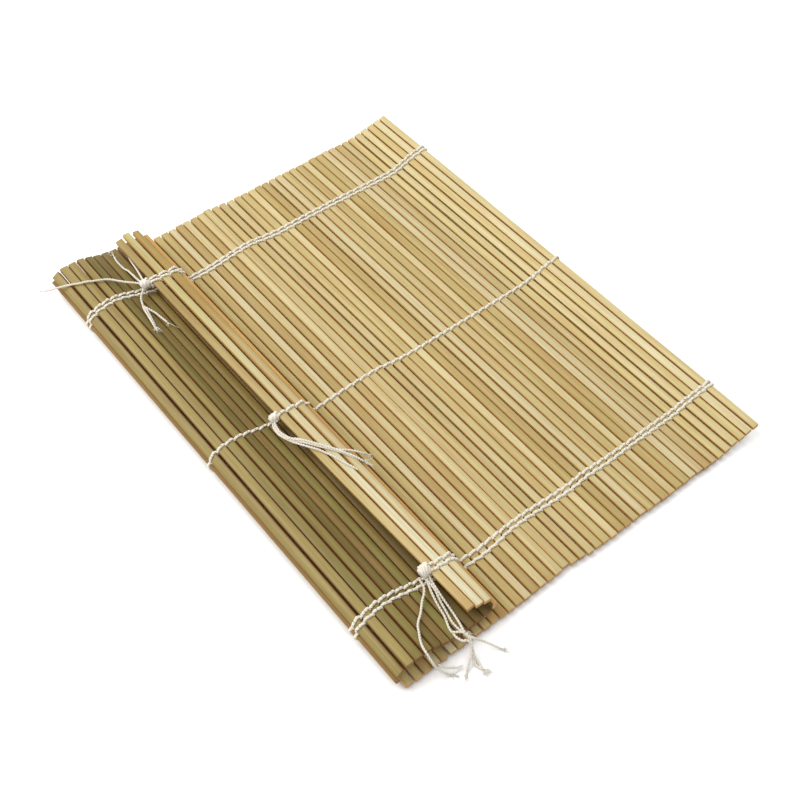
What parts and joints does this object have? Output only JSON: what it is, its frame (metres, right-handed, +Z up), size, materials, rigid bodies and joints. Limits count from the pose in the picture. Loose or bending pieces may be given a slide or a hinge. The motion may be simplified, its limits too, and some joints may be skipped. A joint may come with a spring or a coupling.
{
  "type": "sushi rolling mat",
  "caption": "Flexible mat of split bamboo slats woven together with cotton twine, folded over at one side, that unfolds flat and rolls up.",
  "frame": {"origin": "centre of the box of slats and woven twine, at the surface that the mat lies on; the loose tails are not counted", "axes": "+Y along the slats towards the far ends, +X across the slats towards the free edge, +Z up from the surface"},
  "size_m": [0.1873, 0.25, 0.0142],
  "materials": {
    "bamboo": "split bamboo, satin on the pale inner side and waxy on the skin side",
    "cotton_twine": "twisted cotton twine, matt"
  },
  "bodies": {
    "section_01": {"slats_01": "bamboo", "twine_01": "cotton_twine"},
    "section_02": {"slats_02": "bamboo", "twine_02": "cotton_twine"},
    "section_03": {"slats_03": "bamboo", "twine_03": "cotton_twine"},
    "section_04": {"slats_04": "bamboo", "twine_04": "cotton_twine"},
    "section_05": {"slats_05": "bamboo", "twine_05": "cotton_twine"},
    "section_06": {"slats_06": "bamboo", "twine_06": "cotton_twine"},
    "section_07": {"slats_07": "bamboo", "twine_07": "cotton_twine"},
    "section_08": {"slats_08": "bamboo", "twine_08": "cotton_twine"},
    "section_09": {"slats_09": "bamboo", "twine_09": "cotton_twine"},
    "section_10": {"slats_10": "bamboo", "twine_10": "cotton_twine"},
    "section_11": {"slats_11": "bamboo", "twine_11": "cotton_twine"},
    "section_12": {"slats_12": "bamboo", "twine_12": "cotton_twine"},
    "section_13": {"slats_13": "bamboo", "twine_13": "cotton_twine"},
    "section_14": {"slats_14": "bamboo", "twine_14": "cotton_twine"},
    "section_15": {"slats_15": "bamboo", "twine_15": "cotton_twine"},
    "section_16": {"slats_16": "bamboo", "twine_16": "cotton_twine"},
    "section_17": {"slats_17": "bamboo", "twine_17": "cotton_twine"},
    "section_18": {"slats_18": "bamboo", "twine_18": "cotton_twine"},
    "section_19": {"slats_19": "bamboo", "twine_19": "cotton_twine"},
    "section_20": {"slats_20": "bamboo", "twine_20": "cotton_twine"},
    "section_21": {"slats_21": "bamboo", "twine_21": "cotton_twine"},
    "section_22": {"slats_22": "bamboo", "twine_22": "cotton_twine"},
    "section_23": {"slats_23": "bamboo", "twine_23": "cotton_twine"},
    "section_24": {"slats_24": "bamboo", "twine_24": "cotton_twine"},
    "section_25": {"slats_25": "bamboo", "twine_25": "cotton_twine"},
    "section_26": {"slats_26": "bamboo", "twine_26": "cotton_twine"},
    "section_27": {"slats_27": "bamboo", "twine_27": "cotton_twine", "knot_far": "cotton_twine", "knot_middle": "cotton_twine", "knot_near": "cotton_twine", "tails_far": "cotton_twine", "tails_middle": "cotton_twine", "tails_near": "cotton_twine"}
  },
  "joints": [
    {"name": "roll_up", "type": "hinge", "parent": "section_15", "child": "section_14", "pos_m": [-0.01759, 0, 0.0028], "axis": [0, -1, 0], "range_deg": [0, 26]},
    {"name": "roll_bend_13", "type": "hinge", "parent": "section_14", "child": "section_13", "pos_m": [-0.00983, 0, 0.0028], "axis": [0, -1, 0], "range_deg": [0, 27]},
    {"name": "roll_bend_12", "type": "hinge", "parent": "section_13", "child": "section_12", "pos_m": [-0.00207, 0, 0.0028], "axis": [0, -1, 0], "range_deg": [0, 27]},
    {"name": "roll_bend_11", "type": "hinge", "parent": "section_12", "child": "section_11", "pos_m": [0.00569, 0, 0.0028], "axis": [0, -1, 0], "range_deg": [0, 28]},
    {"name": "roll_bend_10", "type": "hinge", "parent": "section_11", "child": "section_10", "pos_m": [0.01345, 0, 0.0028], "axis": [0, -1, 0], "range_deg": [0, 28.5]},
    {"name": "roll_bend_09", "type": "hinge", "parent": "section_10", "child": "section_09", "pos_m": [0.02121, 0, 0.0028], "axis": [0, -1, 0], "range_deg": [0, 29]},
    {"name": "roll_bend_08", "type": "hinge", "parent": "section_09", "child": "section_08", "pos_m": [0.02897, 0, 0.0028], "axis": [0, -1, 0], "range_deg": [0, 30]},
    {"name": "roll_bend_07", "type": "hinge", "parent": "section_08", "child": "section_07", "pos_m": [0.03673, 0, 0.0028], "axis": [0, -1, 0], "range_deg": [0, 31]},
    {"name": "roll_bend_06", "type": "hinge", "parent": "section_07", "child": "section_06", "pos_m": [0.04449, 0, 0.0028], "axis": [0, -1, 0], "range_deg": [0, 32]},
    {"name": "roll_bend_05", "type": "hinge", "parent": "section_06", "child": "section_05", "pos_m": [0.05225, 0, 0.0028], "axis": [0, -1, 0], "range_deg": [0, 33]},
    {"name": "roll_bend_04", "type": "hinge", "parent": "section_05", "child": "section_04", "pos_m": [0.06001, 0, 0.0028], "axis": [0, -1, 0], "range_deg": [0, 34]},
    {"name": "roll_bend_03", "type": "hinge", "parent": "section_04", "child": "section_03", "pos_m": [0.06777, 0, 0.0028], "axis": [0, -1, 0], "range_deg": [0, 29]},
    {"name": "roll_bend_02", "type": "hinge", "parent": "section_03", "child": "section_02", "pos_m": [0.07548, 0, 0.00361], "axis": [0, -1, 0], "range_deg": [0, 30]},
    {"name": "roll_bend_01", "type": "hinge", "parent": "section_02", "child": "section_01", "pos_m": [0.08307, 0, 0.00522], "axis": [0, -1, 0], "range_deg": [0, 38]},
    {"name": "unfold", "type": "hinge", "parent": "section_15", "child": "section_16", "pos_m": [-0.08743, 0, 0.0028], "axis": [0, -1, 0], "range_deg": [0, 72]},
    {"name": "fold_bend_17", "type": "hinge", "parent": "section_16", "child": "section_17", "pos_m": [-0.08863, 0, 0.00649], "axis": [0, -1, 0], "range_deg": [0, 73]},
    {"name": "fold_bend_18", "type": "hinge", "parent": "section_17", "child": "section_18", "pos_m": [-0.08545, 0, 0.00872], "axis": [0, -1, 0], "range_deg": [0, 33.5]},
    {"name": "fold_bend_19", "type": "hinge", "parent": "section_18", "child": "section_19", "pos_m": [-0.0777, 0, 0.00892], "axis": [0, -1, 0], "range_deg": [0, 13.5]},
    {"name": "fold_bend_20", "type": "hinge", "parent": "section_19", "child": "section_20", "pos_m": [-0.0739, 0, 0.00811], "axis": [0, -1, 0], "range_deg": [0, 5.96]},
    {"name": "fold_bend_21", "type": "hinge", "parent": "section_20", "child": "section_21", "pos_m": [-0.0659, 0, 0.00762], "axis": [0, -1, 0], "range_deg": [-8.96, 0]},
    {"name": "fold_bend_22", "type": "hinge", "parent": "section_21", "child": "section_22", "pos_m": [-0.06207, 0, 0.00702], "axis": [0, -1, 0], "range_deg": [-6, 0]},
    {"name": "fold_bend_23", "type": "hinge", "parent": "section_22", "child": "section_23", "pos_m": [-0.05432, 0, 0.00661], "axis": [0, -1, 0], "range_deg": [-3, 0]},
    {"name": "fold_bend_24", "type": "hinge", "parent": "section_23", "child": "section_24", "pos_m": [-0.04656, 0, 0.00661], "axis": [0, -1, 0], "range_deg": [-85, 0]},
    {"name": "fold_bend_25", "type": "hinge", "parent": "section_24", "child": "section_25", "pos_m": [-0.04622, 0, 0.01047], "axis": [0, -1, 0], "range_deg": [-86, 0]},
    {"name": "fold_bend_26", "type": "hinge", "parent": "section_25", "child": "section_26", "pos_m": [-0.05006, 0, 0.01108], "axis": [0, -1, 0], "range_deg": [-9, 0]},
    {"name": "fold_bend_27", "type": "hinge", "parent": "section_26", "child": "section_27", "pos_m": [-0.05393, 0, 0.01108], "axis": [0, -1, 0], "range_deg": [-8, 0], "deforming": ["tails_far", "tails_middle", "tails_near"]}
  ],
  "couplings": [
    {"joint": "roll_bend_13", "follows": "roll_up", "ratio": 1.0385},
    {"joint": "roll_bend_12", "follows": "roll_up", "ratio": 1.0385},
    {"joint": "roll_bend_11", "follows": "roll_up", "ratio": 1.0769},
    {"joint": "roll_bend_10", "follows": "roll_up", "ratio": 1.0962},
    {"joint": "roll_bend_09", "follows": "roll_up", "ratio": 1.1154},
    {"joint": "roll_bend_08", "follows": "roll_up", "ratio": 1.1538},
    {"joint": "roll_bend_07", "follows": "roll_up", "ratio": 1.1923},
    {"joint": "roll_bend_06", "follows": "roll_up", "ratio": 1.2308},
    {"joint": "roll_bend_05", "follows": "roll_up", "ratio": 1.2692},
    {"joint": "roll_bend_04", "follows": "roll_up", "ratio": 1.3077},
    {"joint": "roll_bend_03", "follows": "roll_up", "ratio": 1.1154},
    {"joint": "roll_bend_02", "follows": "roll_up", "ratio": 1.1538},
    {"joint": "roll_bend_01", "follows": "roll_up", "ratio": 1.4615},
    {"joint": "fold_bend_17", "follows": "unfold", "ratio": 1.0139},
    {"joint": "fold_bend_18", "follows": "unfold", "ratio": 0.46528},
    {"joint": "fold_bend_19", "follows": "unfold", "ratio": 0.1875},
    {"joint": "fold_bend_20", "follows": "unfold", "ratio": 0.082731},
    {"joint": "fold_bend_21", "follows": "unfold", "ratio": -0.1244},
    {"joint": "fold_bend_22", "follows": "unfold", "ratio": -0.083333},
    {"joint": "fold_bend_23", "follows": "unfold", "ratio": -0.041667},
    {"joint": "fold_bend_24", "follows": "unfold", "ratio": -1.1806},
    {"joint": "fold_bend_25", "follows": "unfold", "ratio": -1.1944},
    {"joint": "fold_bend_26", "follows": "unfold", "ratio": -0.125},
    {"joint": "fold_bend_27", "follows": "unfold", "ratio": -0.11111}
  ]
}
